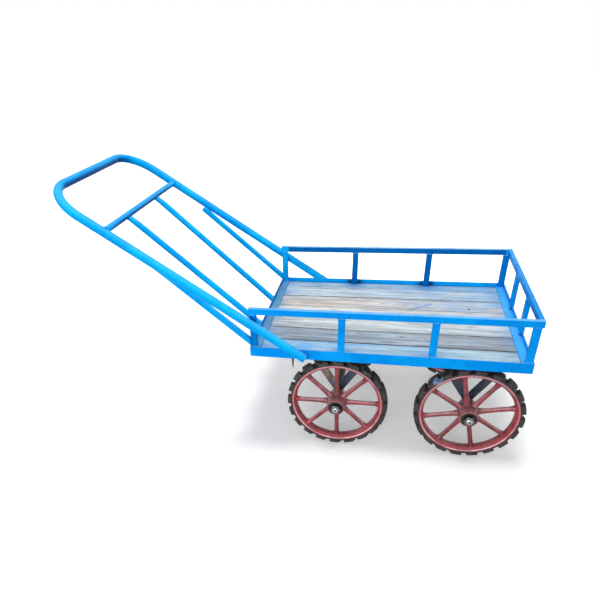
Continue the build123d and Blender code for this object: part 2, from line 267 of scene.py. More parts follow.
# Edges bent more than the first angle stay sharp; corners within the second of straight aren't rounded
SHARP_ANGLE = math.radians(38)
NEARLY_STRAIGHT = 0.02

# Places read from the frame
wheel_place = {}
for joint in frame["joints"]:
    side, end = joint["child"].split("_")[1:]
    wheel_place[side, end] = Vector(joint["pos_m"])
rim_low, rim_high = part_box("cast_wheel_near_handle")
tyre_low, tyre_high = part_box("tyre_near_handle")
RIM_RADIUS = (rim_high.x - rim_low.x) / 2
RIM_INNER = RIM_RADIUS - RIM_THICKNESS
HUB_HALF_LENGTH = (rim_high.y - rim_low.y) / 2
TYRE_RADIUS = (tyre_high.z - tyre_low.z) / 2
TYRE_HALF_WIDTH = (tyre_high.y - tyre_low.y) / 2
DECK_LOW, DECK_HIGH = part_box("side_angle_near")
DECK_HALF_WIDTH = -DECK_LOW.y


def srgb(red, green, blue):
    """Linear colour of an 8-bit screen colour."""
    def linear(value):
        share = value / 255
        return share / 12.92 if share <= 0.04045 else ((share + 0.055) / 1.055) ** 2.4
    return (linear(red), linear(green), linear(blue), 1.0)


def shade(tone, *factors):
    """Linear colour of a screen colour made lighter or darker, by one factor or by three."""
    return srgb(*(min(255, value * factor) for value, factor in zip(tone, factors * 3)))


class Look:
    """A material under construction: coats of colour, and short names for the nodes that make masks."""

    def __init__(self, name, specular=0.5, metallic=0.0):
        self.material = bpy.data.materials.new(name)
        self.material.use_nodes = True
        self.tree = self.material.node_tree
        self.shader = self.tree.nodes["Principled BSDF"]
        self.shader.inputs["Metallic"].default_value = metallic
        self.shader.inputs["Specular IOR Level"].default_value = specular
        self.place = self.add("ShaderNodeTexCoord").outputs["Object"]
        self.split = None
        self.base = None

    def add(self, kind, **settings):
        node = self.tree.nodes.new(kind)
        for key, value in settings.items():
            setattr(node, key, value)
        return node

    def feed(self, socket, value):
        """Link a socket to an output, or set it to a constant."""
        if isinstance(value, bpy.types.NodeSocket):
            self.tree.links.new(value, socket)
        else:
            socket.default_value = value

    def stretched(self, stretch, shift):
        """Object coordinates scaled and shifted."""
        node = self.add("ShaderNodeMapping")
        self.feed(node.inputs["Vector"], self.place)
        node.inputs["Scale"].default_value = stretch
        node.inputs["Location"].default_value = shift
        return node.outputs["Vector"]

    def noise(self, scale, detail=4.0, rough=0.55, stretch=(1, 1, 1), shift=(0, 0, 0), twist=0.0):
        node = self.add("ShaderNodeTexNoise")
        unmoved = stretch == (1, 1, 1) and shift == (0, 0, 0)
        self.feed(node.inputs["Vector"], self.place if unmoved else self.stretched(stretch, shift))
        node.inputs["Scale"].default_value = scale
        node.inputs["Detail"].default_value = detail
        node.inputs["Roughness"].default_value = rough
        node.inputs["Distortion"].default_value = twist
        return node.outputs["Fac"]

    def spots(self, stretch, shift):
        """Distance to scattered points."""
        node = self.add("ShaderNodeTexVoronoi")
        self.feed(node.inputs["Vector"], self.stretched(stretch, shift))
        node.inputs["Scale"].default_value = 1
        return node.outputs["Distance"]

    def ramp(self, value, low, high, start=0.0, stop=1.0):
        """Smooth step of a value between two limits."""
        node = self.add("ShaderNodeMapRange", interpolation_type="SMOOTHSTEP")
        self.feed(node.inputs["Value"], value)
        node.inputs["From Min"].default_value = low
        node.inputs["From Max"].default_value = high
        node.inputs["To Min"].default_value = start
        node.inputs["To Max"].default_value = stop
        return node.outputs["Result"]

    def math(self, operation, first, second=0.0):
        node = self.add("ShaderNodeMath", operation=operation)
        self.feed(node.inputs[0], first)
        self.feed(node.inputs[1], second)
        return node.outputs[0]

    def times(self, *values):
        product = values[0]
        for value in values[1:]:
            product = self.math("MULTIPLY", product, value)
        return product

    def mix(self, share, first, second):
        node = self.add("ShaderNodeMix", data_type="RGBA")
        self.feed(node.inputs["Factor"], share)
        self.feed(node.inputs["A"], first)
        self.feed(node.inputs["B"], second)
        return node.outputs["Result"]

    def coat(self, colour, *masks):
        """Lay a colour over what is there, as far as all its masks let it. The first one needs no mask."""
        self.base = self.mix(self.times(*masks), self.base, colour) if masks else colour

    def axis(self, name):
        """One object coordinate."""
        if self.split is None:
            self.split = self.add("ShaderNodeSeparateXYZ")
            self.feed(self.split.inputs[0], self.place)
        return self.split.outputs[name]

    def facing_up(self):
        """How far the surface faces up at rest, from -1 to 1."""
        turn = self.add("ShaderNodeVectorTransform", vector_type="NORMAL")
        turn.convert_from = "WORLD"
        turn.convert_to = "OBJECT"
        self.feed(turn.inputs[0], self.add("ShaderNodeNewGeometry").outputs["Normal"])
        parts = self.add("ShaderNodeSeparateXYZ")
        self.feed(parts.inputs[0], turn.outputs[0])
        return parts.outputs["Z"]

    def distance(self, point):
        """Distance from a point."""
        node = self.add("ShaderNodeVectorMath", operation="DISTANCE")
        self.feed(node.inputs[0], self.place)
        node.inputs[1].default_value = point
        return node.outputs["Value"]

    def near(self, points, inner, outer, ragged=0.0):
        """1 close to any of some points, fading to 0 between two distances."""
        mask = None
        for point in points:
            distance = self.distance(point)
            if ragged:
                distance = self.math("ADD", distance, self.times(self.noise(45, 4), ragged))
            here = self.ramp(distance, inner, outer, 1, 0)
            mask = here if mask is None else self.math("MAXIMUM", mask, here)
        return mask

    def from_axle(self):
        """Distance from the object's Y axis."""
        squares = [self.times(self.axis(name), self.axis(name)) for name in ("X", "Z")]
        return self.math("SQRT", self.math("ADD", *squares))

    def corners(self, reach):
        """How closed in the surface is, from 0 in the open to 1 in a corner."""
        node = self.add("ShaderNodeAmbientOcclusion", samples=6)
        node.inputs["Distance"].default_value = reach
        return self.math("SUBTRACT", 1.0, node.outputs["AO"])

    def bump(self, height, distance, strength):
        node = self.add("ShaderNodeBump")
        self.feed(node.inputs["Height"], height)
        node.inputs["Distance"].default_value = distance
        node.inputs["Strength"].default_value = strength
        previous = self.shader.inputs["Normal"]
        if previous.is_linked:
            self.feed(node.inputs["Normal"], previous.links[0].from_socket)
        self.feed(previous, node.outputs["Normal"])

    def finish(self, roughness):
        """The material, with its coats and its roughness."""
        self.feed(self.shader.inputs["Base Color"], self.base)
        self.feed(self.shader.inputs["Roughness"], roughness)
        return self.material


def blue_paint(name, tone=(3, 148, 241), dust_and_sheen=0.55, seed=0.0, dark_patches=(), lit_spots=(), grip=False):
    """Sprayed paint: mottled, with runs and chips, dust and a painted sky sheen on its tops, painted shade in
    corners, and, where asked, darker patches, painted light round given points and painted shade under a
    grip.
    """
    look = Look(name, specular=0.02)
    shift = (seed, seed * 1.7, seed * 0.6)
    thin = srgb(tone[0] + 4, min(255, tone[1] * 1.12), min(255, tone[2] * 1.05))
    thick = shade(tone, 0.84)
    look.coat(srgb(*tone))
    look.coat(thin, look.ramp(look.noise(6, shift=shift), 0.42, 0.66))
    look.coat(thick, look.ramp(look.noise(26, 5, shift=shift), 0.54, 0.74, 0, 0.6))
    runs = look.ramp(look.noise(1, 3, stretch=(75, 75, 9), shift=shift), 0.60, 0.72)
    look.coat(thick, runs, 0.35)
    # Upper faces turn paler from dust and from a painted sky sheen
    upper = look.ramp(look.facing_up(), 0.30, 0.95)
    dust_and_sheen_patches = look.ramp(look.noise(20, 6, 0.65, shift=shift), 0.28, 0.68, 0.5, 1.0)
    look.coat(srgb(150, 200, 236), upper, dust_and_sheen_patches, dust_and_sheen)
    # With grip: painted shade on the undersides of the grip and cross bar, strongest in the middle and fading
    # towards the ends
    if grip:
        under = look.ramp(look.facing_up(), 0.84, -0.10)
        shade_span = look.ramp(look.math("ABSOLUTE", look.axis("Y")), 0.23, 0.34, 0.92, 0.10)
        look.coat(srgb(0, 70, 142), under, shade_span)
    # Painted shade in corners
    closed = look.ramp(look.corners(0.022), 0.45, 0.95)
    look.coat(srgb(0, 58, 122), closed, 0.4)
    # Darker navy round given points: the far posts' feet
    if dark_patches:
        look.coat(srgb(6, 46, 98), look.near(dark_patches, 0.030, 0.070, 0.03), 0.95)
    # Painted light: brighter blue round given points, the ends of the far rail
    if lit_spots:
        look.coat(srgb(16, 178, 252), look.near(lit_spots, 0.034, 0.046, 0.01), 0.9)
    chips = look.ramp(look.noise(70, 3, 0.7, shift=shift), 0.750, 0.775)
    look.coat(srgb(40, 52, 76), chips, 0.85)
    look.bump(look.noise(160, 2), 0.0003, 0.12)
    look.bump(runs, 0.0005, 0.4)
    look.bump(look.math("SUBTRACT", 1.0, chips), 0.0002, 0.4)
    return look.finish(look.ramp(look.noise(40, 4, shift=shift), 0.3, 0.75, 0.30, 0.52))


def wood_grain(look, tone, warm, grain, seed):
    """Coats and bumps of bare, weathered softwood. Returns the shift of its noise, and its fibres."""
    shift = (seed * 0.37, seed * 0.73, seed * 0.21)
    rings = look.noise(1, 5, 0.6, stretch=(2.4, 44, 44), shift=shift, twist=0.5)
    fibres = look.noise(1, 4, 0.7, stretch=(13, 330, 330), shift=shift)
    dark_patches = look.noise(5, 5, 0.6, stretch=(0.8, 2.2, 1), shift=shift)
    look.coat(shade(tone, 1.03))
    look.coat(shade(tone, 1 - 0.22 * grain), look.ramp(rings, 0.38, 0.62))
    look.coat(shade(tone, 0.96, 0.87, 0.78), look.ramp(dark_patches, 0.44, 0.66, 0, warm))
    streaks = look.ramp(look.noise(1, 5, 0.65, stretch=(6.5, 80, 80), shift=shift), 0.52, 0.70)
    look.coat(shade(tone, 0.58, 0.55, 0.56), streaks, grain)
    worn = look.ramp(look.noise(22, 5, 0.65, stretch=(0.6, 2.6, 1), shift=shift), 0.48, 0.72)
    look.coat(shade(tone, 0.74, 0.69, 0.66), worn, 0.7)
    look.coat(shade(tone, 0.60), look.ramp(fibres, 0.54, 0.78, 0, 0.4))
    knots = look.spots((5.5, 13, 13), shift)
    look.coat(srgb(150, 122, 102), look.ramp(knots, 0.05, 0.17, 0.45, 0))
    look.coat(srgb(52, 44, 44), look.ramp(knots, 0.030, 0.058, 0.9, 0))
    nails = look.spots((9, 14, 14), (seed * 2.1, seed, seed * 0.5))
    look.coat(srgb(58, 50, 50), look.ramp(nails, 0.030, 0.050, 0.85, 0))
    checks = look.ramp(look.noise(1, 3, 0.5, stretch=(3.6, 150, 150), shift=shift), 0.690, 0.715)
    look.coat(srgb(62, 58, 60), checks, 0.8)
    look.bump(rings, 0.0009, 0.5)
    look.bump(fibres, 0.0005, 0.5)
    look.bump(look.math("SUBTRACT", 1.0, checks), 0.0012, 0.8)
    return shift, fibres


def plank_wood(name, node, seed, tone, warm, grain, joints, spray, feet=(), smear=(), holes=()):
    """Weathered softwood with dark joints and painted shade in its corners, marked by the blue spray that
    drifted in from the frame.
    """
    look = Look(name, specular=0.2)
    low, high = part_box(node)
    shift, fibres = wood_grain(look, tone, warm, grain, seed)
    along = look.ramp(look.axis("X"), low.x + 0.32, high.x - 0.12, *spray)
    cloud = look.ramp(look.noise(8, 5, 0.6, stretch=(1, 1.6, 1), shift=shift), 0.30, 0.66, 0.30, 1.0)
    look.coat(srgb(98, 172, 228), along, cloud)
    middle = look.math("ABSOLUTE", look.math("SUBTRACT", look.axis("X"), (low.x + high.x) / 2))
    ends = look.ramp(middle, 0.395, 0.475, 0, 0.5)
    look.coat(srgb(96, 146, 196), ends, cloud)
    if feet:
        look.coat(srgb(62, 122, 184), look.near(feet, 0.02, 0.10, 0.03), 0.8)
    if smear:
        look.coat(srgb(76, 132, 198), look.near(smear, 0.005, 0.020, 0.012), 0.70)
    if holes:
        look.coat(srgb(48, 44, 48), look.near(holes, 0.003, 0.008))
    waver = look.times(look.noise(30, 4, shift=shift), 0.006)
    near_edge = look.math("SUBTRACT", look.axis("Y"), low.y)
    far_edge = look.math("SUBTRACT", high.y, look.axis("Y"))
    for edge, joint in zip((near_edge, far_edge), joints):
        ragged = look.math("ADD", edge, waver)
        look.coat(srgb(112, 104, 104), look.ramp(ragged, 0.004, 0.022, joint * 0.32, 0))
        look.coat(srgb(44, 42, 46), look.ramp(ragged, 0.0022, 0.0072, joint, 0))
    # Painted shade in the corners along the frame and in the gaps
    closed = look.ramp(look.corners(0.012), 0.50, 0.95)
    look.coat(srgb(44, 50, 62), closed, 0.7)
    return look.finish(look.ramp(fibres, 0.3, 0.8, 0.66, 0.88))


def wheel_paint(name):
    """Maroon paint over a sand casting: painted highlights on the rim's lips, dust and a painted highlight on
    upward faces, painted shade on downward faces and in corners.
    """
    look = Look(name, specular=0.45)
    radius = look.from_axle()
    up = look.facing_up()
    look.coat(srgb(102, 29, 37))
    look.coat(srgb(158, 54, 63), look.ramp(look.noise(16, 5), 0.36, 0.66))
    rubbed = look.ramp(look.noise(60, 5, 0.65), 0.46, 0.74)
    look.coat(srgb(186, 104, 112), rubbed, 0.35)
    on_rim = look.ramp(radius, RIM_INNER - 0.002, RIM_INNER + 0.002)
    look.coat(srgb(190, 62, 76), on_rim, look.ramp(look.noise(11, 5, 0.6), 0.35, 0.65, 0.35, 0.80))
    # Painted highlight: a pale pink line along the rim's lips, strongest where they face up
    lip_start = RIM_RADIUS - RIM_LIP
    look.coat(
        srgb(255, 216, 224),
        look.ramp(radius, lip_start - 0.0022, lip_start + 0.0002),
        look.ramp(radius, RIM_RADIUS - 0.0030, RIM_RADIUS - 0.0008, 1, 0.2),
        look.ramp(look.math("ABSOLUTE", look.axis("Y")), 0.0185, 0.0220),
        look.ramp(look.noise(15, 5, 0.6), 0.32, 0.56, 0.30, 1.0),
        look.ramp(up, 0.0, 0.22, 0.20, 1.0),
    )
    on_hub = look.ramp(radius, 0.040, 0.052, 1, 0)
    look.coat(srgb(152, 92, 96), on_hub, look.ramp(look.noise(30, 4), 0.3, 0.6, 0.3, 0.85))
    # Pale dust and a painted highlight on upward faces, mostly on the spokes, less on the hub and rim
    off_hub = look.ramp(radius, 0.042, 0.056, 0.30, 1)
    off_rim = look.ramp(radius, 0.140, 0.158, 1, 0.16)
    dust = look.ramp(look.noise(34, 5), 0.3, 0.6, 0.6, 1.0)
    look.coat(srgb(240, 184, 190), look.ramp(up, 0.22, 0.80), dust, off_hub, off_rim, 0.75)
    # Painted shade on downward faces
    look.coat(srgb(66, 16, 23), look.ramp(up, -0.05, -0.70, 0, 0.6))
    scuffs = look.ramp(look.noise(120, 4, 0.7), 0.66, 0.74)
    look.coat(srgb(70, 32, 36), scuffs, 0.7)
    # Painted shade in corners
    closed = look.ramp(look.corners(0.022), 0.45, 0.95)
    look.coat(srgb(52, 16, 22), closed, 0.5)
    look.bump(look.noise(260, 3, 0.6), 0.0005, 0.22)
    look.bump(look.noise(45, 3), 0.0015, 0.25)
    return look.finish(look.ramp(look.noise(45, 4), 0.3, 0.7, 0.24, 0.44))


def tyre_rubber(name, splash=None):
    """Dusty black rubber, browner on the tread, with painted shade in the grooves and an optional splash of
    pale blue paint.
    """
    look = Look(name, specular=0.25)
    look.coat(srgb(38, 38, 41))
    look.coat(srgb(60, 60, 63), look.ramp(look.noise(24, 5), 0.35, 0.7))
    dust = look.ramp(look.noise(70, 6, 0.7), 0.40, 0.72)
    tread = look.ramp(look.from_axle(), TYRE_RADIUS - 0.010, TYRE_RADIUS - 0.002, 0.35, 0.8)
    look.coat(srgb(112, 100, 94), dust, tread)
    # Painted shade in the grooves
    closed = look.ramp(look.corners(0.014), 0.35, 0.85)
    look.coat(srgb(14, 14, 16), closed, 0.8)
    if splash is not None:
        look.coat(srgb(132, 164, 200), look.near([splash], 0.023, 0.033, 0.018), 0.9)
    look.bump(look.noise(300, 4, 0.6), 0.0005, 0.4)
    return look.finish(look.ramp(dust, 0, 1, 0.62, 0.88))


def underframe_paint(name, rust, blue, seed=0.0, bare_before=None, dab=None):
    """Dark primer with rust and stray blue spray, and where asked, barer before an X and with a blue dab."""
    look = Look(name, specular=0.2)
    shift = (seed, seed * 0.4, seed * 1.3)
    look.coat(srgb(44, 50, 64))
    look.coat(srgb(70, 80, 98), look.ramp(look.noise(20, 5, shift=shift), 0.35, 0.7))
    rusty = look.ramp(look.noise(28, 6, 0.65, shift=shift), 0.50, 0.70)
    look.coat(srgb(104, 74, 58), rusty, rust)
    sprayed = look.ramp(look.noise(9, 5, 0.6, shift=shift), 0.53, 0.70)
    look.coat(srgb(10, 92, 168), sprayed, blue)
    if bare_before is not None:
        mottle = look.ramp(look.noise(34, 5, shift=shift), 0.38, 0.64)
        bare = look.mix(mottle, srgb(98, 92, 88), srgb(150, 132, 116))
        look.coat(bare, look.ramp(look.axis("X"), bare_before - 0.012, bare_before + 0.004, 0.85, 0))
    if dab is not None:
        look.coat(srgb(40, 104, 168), look.near([dab], 0.008, 0.024, 0.016), 0.9)
    look.bump(look.noise(240, 4, 0.6, shift=shift), 0.0006, 0.4)
    return look.finish(look.ramp(rusty, 0, 1, 0.45, 0.80))


def bare_steel(name, grey, rough, grime):
    """Plated or turned steel with fine scratches and oily grime in the corners."""
    look = Look(name, metallic=1.0)
    tone = (grey, grey, grey)
    look.coat(srgb(*tone))
    look.coat(shade(tone, 0.80, 0.79, 0.77), look.ramp(look.noise(90, 5), 0.4, 0.7))
    closed = look.ramp(look.corners(0.008), 0.30, 0.85)
    look.coat(srgb(30, 28, 27), closed, grime)
    look.bump(look.noise(380, 3), 0.0002, 0.3)
    scratches = look.noise(1, 3, stretch=(900, 60, 900))
    return look.finish(look.ramp(scratches, 0.3, 0.7, rough, rough + 0.18))


def seal_rubber(name):
    """Black bearing seal, greasy in places."""
    look = Look(name, specular=0.3)
    look.coat(srgb(18, 18, 19))
    look.coat(srgb(36, 36, 37), look.ramp(look.noise(120, 4), 0.4, 0.7))
    look.bump(look.noise(500, 3), 0.0003, 0.3)
    return look.finish(look.ramp(look.noise(90, 4), 0.35, 0.7, 0.35, 0.65))


def piece_from(name, shape, materials, body, replaced=(), place=None):
    """A new piece from a bmesh, riding on a body."""
    mesh = bpy.data.meshes.new(name)
    bmesh.ops.recalc_face_normals(shape, faces=shape.faces)
    shape.to_mesh(mesh)
    shape.free()
    mesh.shade_smooth()
    mesh.set_sharp_from_angle(angle=SHARP_ANGLE)
    for material in materials:
        mesh.materials.append(material)
    piece = bpy.data.objects.new(name, mesh)
    bpy.context.scene.collection.objects.link(piece)
    if place is not None:
        piece.location = place
        bpy.context.view_layer.update()
    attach(piece, body)
    if replaced:
        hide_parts(*replaced)


def skin(shape, rings):
    """Faces between neighbouring rings of points."""
    for here, after in zip(rings, rings[1:]):
        for index in range(len(here)):
            beside = (index + 1) % len(here)
            shape.faces.new((here[index], here[beside], after[beside], after[index]))


def revolved(shape, profile, steps):
    """Add the surface that a closed profile of (radius, along) points sweeps about the Y axis."""
    rings = []
    for step in range(steps):
        turn = 2 * math.pi * step / steps
        across, up = math.sin(turn), math.cos(turn)
        rings.append([shape.verts.new((radius * across, along, radius * up)) for radius, along in profile])
    skin(shape, rings + rings[:1])


def mirrored(half):
    """A closed profile from the (radius, along, rounding) corners on one side of the wheel's middle."""
    return [(radius, -along, rounding) for radius, along, rounding in half] + half[::-1]


def rounded(corners, steps=4):
    """Points of a closed profile of (radius, along, rounding) corners, with an arc at each corner."""
    points = []
    places = [Vector(corner[:2]) for corner in corners]
    for index, corner in enumerate(places):
        rounding = corners[index][2]
        before = (places[index - 1] - corner).normalized()
        after = (places[(index + 1) % len(places)] - corner).normalized()
        half = math.acos(max(-1, min(1, before.dot(after)))) / 2
        if rounding <= 0 or half > math.pi / 2 - NEARLY_STRAIGHT:
            points.append(tuple(corner))
            continue
        reach = rounding / math.tan(half)
        middle = corner + (before + after).normalized() * (rounding / math.sin(half))
        first = corner + before * reach - middle
        last = corner + after * reach - middle
        for step in range(steps + 1):
            points.append(tuple(middle + first.slerp(last, step / steps).normalized() * rounding))
    return points


def casting(turn):
    """Rim, flared spokes and barrel hub of one wheel about the Y axis, turned by an angle."""
    shape = bmesh.new()
    rim = [
        (RIM_INNER, RIM_FLAT, RIM_FLAT_ROUND),
        (RIM_RADIUS - RIM_LIP, RIM_HALF_WIDTH, RIM_LIP_ROUND),
        (RIM_RADIUS, RIM_HALF_WIDTH, RIM_SEAT_ROUND),
    ]
    revolved(shape, rounded(mirrored(rim)), RIM_STEPS)
    hub = [
        (BEARING_RADIUS, HUB_HALF_LENGTH, HUB_MOUTH_ROUND),
        (HUB_END_RADIUS, HUB_HALF_LENGTH, HUB_END_ROUND),
        (HUB_RADIUS, HUB_HALF_LENGTH - HUB_TAPER, HUB_TAPER_ROUND),
        (HUB_RADIUS + HUB_BELLY, HUB_BELLY_HALF, HUB_BELLY_ROUND),
    ]
    revolved(shape, rounded(mirrored(hub), 3), HUB_STEPS)
    for number in range(SPOKES):
        add_spoke(shape, turn + 2 * math.pi * number / SPOKES)
    return shape


def squarish(share):
    """A sine or cosine swollen towards a square."""
    return math.copysign(abs(share) ** SPOKE_SQUARENESS, share)


def add_spoke(shape, turn):
    """One spoke: an oval bar that swells into the hub and the rim."""
    start = BEARING_RADIUS + SPOKE_SINK
    stop = RIM_RADIUS - RIM_THICKNESS / 2
    spin = Matrix.Rotation(turn, 4, "Y")
    rings = []
    for step in range(SPOKE_STEPS + 1):
        radius = start + (stop - start) * step / SPOKE_STEPS
        root = math.exp(-(radius - start) / SPOKE_ROOT_FADE)
        tip = min(math.exp((radius - RIM_INNER) / SPOKE_TIP_FADE), SPOKE_TIP_LIMIT)
        swell = SPOKE_ROOT_FLARE * root + SPOKE_TIP_FLARE * tip
        oval = []
        for index in range(SPOKE_SIDES):
            angle = 2 * math.pi * index / SPOKE_SIDES
            across = squarish(math.cos(angle)) * (SPOKE_WIDTH / 2 + swell)
            depth = squarish(math.sin(angle)) * (SPOKE_DEPTH / 2 + swell)
            oval.append(shape.verts.new(spin @ Vector((across, depth, radius))))
        rings.append(oval)
    skin(shape, rings)
    shape.faces.new(rings[0])
    shape.faces.new(reversed(rings[-1]))


def tyre(turn, slant):
    """Carcass with two rows of rounded, slanted lugs, turned by an angle."""
    shape = bmesh.new()
    floor = TYRE_RADIUS - TREAD_DEPTH
    half = TYRE_HALF_WIDTH - CARCASS_INSET
    carcass = [
        (RIM_RADIUS + TYRE_CLEARANCE, half, CARCASS_BEAD_ROUND),
        (floor + CARCASS_SHOULDER, half, CARCASS_SHOULDER_ROUND),
        (floor + CARCASS_CROWN, half / 2, 0),
    ]
    revolved(shape, rounded(mirrored(carcass), 3), CARCASS_STEPS)
    draw = random.Random(7)
    for sign in (-1, 1):
        for number in range(LUGS):
            add_lug(shape, turn + 2 * math.pi * number / LUGS, sign, slant, draw)
    return shape


def add_lug(shape, turn, sign, slant, draw):
    """One lug: a rounded block bent round the tyre, from the middle of the tread over the shoulder."""
    block = bmesh.new()
    depth = TREAD_DEPTH + LUG_SINK
    reach = TYRE_HALF_WIDTH - LUG_INSET
    bmesh.ops.create_cube(block, size=1.0)
    bmesh.ops.scale(block, vec=(LUG_LENGTH, reach, depth), verts=block.verts)
    bmesh.ops.bevel(block, geom=block.edges[:], offset=LUG_ROUND, segments=3, profile=0.5, affect="EDGES")
    for cut in LUG_CUTS:
        whole = block.verts[:] + block.edges[:] + block.faces[:]
        bmesh.ops.bisect_plane(block, geom=whole, plane_co=(cut * LUG_LENGTH, 0, 0), plane_no=(1, 0, 0))
    worn = draw.uniform(-LUG_WEAR, 0.0)
    places = {}
    for vert in block.verts:
        along, across, up = vert.co
        across += reach / 2 + LUG_GROOVE_HALF
        if up < LUG_ROOT_BELOW * depth:
            across += LUG_ROOT_STEP
        along *= LUG_INNER_STRETCH - LUG_TAPER * across / TYRE_HALF_WIDTH
        around = turn + (along - math.tan(slant) * sign * across) / TYRE_RADIUS
        radius = TYRE_RADIUS - depth / 2 + up
        if up > 0:
            radius += worn - LUG_CROWN * (across / TYRE_HALF_WIDTH) ** 2
        radius = min(radius, TYRE_RADIUS)
        bent = (radius * math.sin(around), sign * across, radius * math.cos(around))
        places[vert] = shape.verts.new(bent)
    for face in block.faces:
        shape.faces.new([places[vert] for vert in face.verts])
    block.free()


def bearing_ring(outer, inner, outer_half, inner_half):
    """Profile of a ring whose width may differ from its outside to its inside."""
    corners = ((outer, -outer_half), (outer, outer_half), (inner, inner_half), (inner, -inner_half))
    return rounded([(radius, along, BEARING_ROUND) for radius, along in corners], 2)


def bearings():
    """The sealed bearings in the four hubs: races and cones with a seal between them."""
    shape = bmesh.new()
    outer = BEARING_RADIUS - BEARING_CLEARANCE
    bore = JOURNAL_RADIUS + BORE_CLEARANCE
    race = outer - RACE_THICKNESS
    cone = bore + CONE_THICKNESS
    face = HUB_HALF_LENGTH - BEARING_INSET
    profiles = (
        bearing_ring(outer, race, face, face),
        bearing_ring(race, cone, face - SEAL_SINK_AT_RACE, face - SEAL_SINK_AT_CONE),
        bearing_ring(cone, bore, face, face),
    )
    for place in wheel_place.values():
        start = len(shape.verts)
        for profile in profiles:
            revolved(shape, profile, BEARING_STEPS)
        shape.verts.ensure_lookup_table()
        bmesh.ops.translate(shape, vec=place, verts=shape.verts[start:])
    return shape


def nuts():
    """Hexagon nuts on the four axle ends, chamfered at both faces."""
    shape = bmesh.new()
    inner = wheel_place["far", "handle"].y + HUB_HALF_LENGTH - BEARING_INSET
    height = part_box("axle_nuts")[1].y - inner
    flat = NUT_ACROSS_FLATS / 2
    face = flat * NUT_FACE_SHARE
    bore = JOURNAL_RADIUS + BORE_CLEARANCE
    for (side, end), place in wheel_place.items():
        columns = []
        for step in range(NUT_STEPS):
            turn = 2 * math.pi * step / NUT_STEPS
            off_flat = (turn + math.pi / 6) % (math.pi / 3) - math.pi / 6
            corner = flat / math.cos(off_flat)
            slope = (corner - face) * NUT_CHAMFER
            half = [(bore, 0), (face, 0), (corner, slope)]
            column = []
            for radius, rise in half + [(radius, height - rise) for radius, rise in reversed(half)]:
                x = place.x + radius * math.sin(turn)
                z = place.z + radius * math.cos(turn)
                column.append(shape.verts.new((x, SIDES[side] * (inner + rise), z)))
            columns.append(column)
        skin(shape, columns + columns[:1])
    return shape


def axle(end):
    """One axle: shaft, turned journals, threaded ends with a domed tip and a centre hole."""
    shape = bmesh.new()
    place = wheel_place["far", end]
    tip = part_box(f"axle_{end}")[1].y
    shoulder = place.y - HUB_HALF_LENGTH + BEARING_INSET
    thread_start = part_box("axle_nuts")[1].y - THREAD_HIDDEN
    half = [(radius, tip - back) for radius, back in AXLE_TIP]
    turns = int((half[-1][1] - thread_start) / THREAD_PITCH)
    for turn in range(turns):
        y = tip - THREAD_LEAD - turn * THREAD_PITCH
        half.append((JOURNAL_RADIUS - THREAD_CREST, y - THREAD_PITCH * THREAD_CREST_AT))
        half.append((JOURNAL_RADIUS - THREAD_DEPTH, y - THREAD_PITCH * THREAD_ROOT_AT))
    half += [(JOURNAL_RADIUS, thread_start - THREAD_RUNOUT), (JOURNAL_RADIUS, shoulder)]
    half += [(SHAFT_RADIUS - AXLE_CHAMFER, shoulder), (SHAFT_RADIUS, shoulder - AXLE_CHAMFER)]
    profile = half + [(radius, -along) for radius, along in reversed(half)]
    revolved(shape, profile, AXLE_STEPS)
    for face in shape.faces:
        face.material_index = int(abs(face.calc_center_median().y) > shoulder - BRIGHT_OVERLAP)
    bmesh.ops.translate(shape, vec=(place.x, 0, place.z), verts=shape.verts)
    return shape


def plank(node, seed):
    """A board with wavering edges, worn arrises and an uneven top, inside its solid's box."""
    low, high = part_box(node)
    size = high - low
    wear_along, wear_across = PLANK_WEAR_SCALE
    shape = bmesh.new()

    def point(row, across, top):
        x = low.x + size.x * row / PLANK_ROWS
        y = low.y + size.y * across
        waver = PLANK_WAVER * noise.noise((x * PLANK_WAVER_SCALE, seed * 3.1, across * 2))
        y += waver * (2 * across - 1)
        z = low.z
        if top:
            inset = min(across, 1 - across) * size.y
            drop = max(0, PLANK_ARRIS - inset) ** 2 / PLANK_ARRIS * PLANK_ARRIS_DROP
            wear = PLANK_WEAR * (1 + noise.noise((x * wear_along, y * wear_across, seed))) / 2
            z = high.z - drop - wear
        return shape.verts.new((x, min(max(y, low.y), high.y), z))

    inside = [column / PLANK_COLUMNS for column in range(1, PLANK_COLUMNS)]
    edge = [0, *PLANK_EDGE_COLUMNS]
    across_steps = edge + inside + [1 - share for share in reversed(edge)]
    top_rows, low_rows = [], []
    for row in range(PLANK_ROWS + 1):
        top_rows.append([point(row, across, True) for across in across_steps])
        low_rows.append([point(row, across, False) for across in (0, 1)])
    rings = [[near, *top, far] for top, (near, far) in zip(top_rows, low_rows)]
    skin(shape, rings)
    shape.faces.new(rings[0])
    shape.faces.new(reversed(rings[-1]))
    return shape


def bead_path(points, closed):
    """Closely spaced places along a line of points."""
    points = [Vector(point) for point in points]
    if closed:
        points.append(points[0])
    path = []
    for start, stop in zip(points, points[1:]):
        span = stop - start
        steps = max(2, round(span.length / BEAD_STEP))
        path += [start + span * (step / steps) for step in range(steps)]
    return path if closed else path + points[-1:]


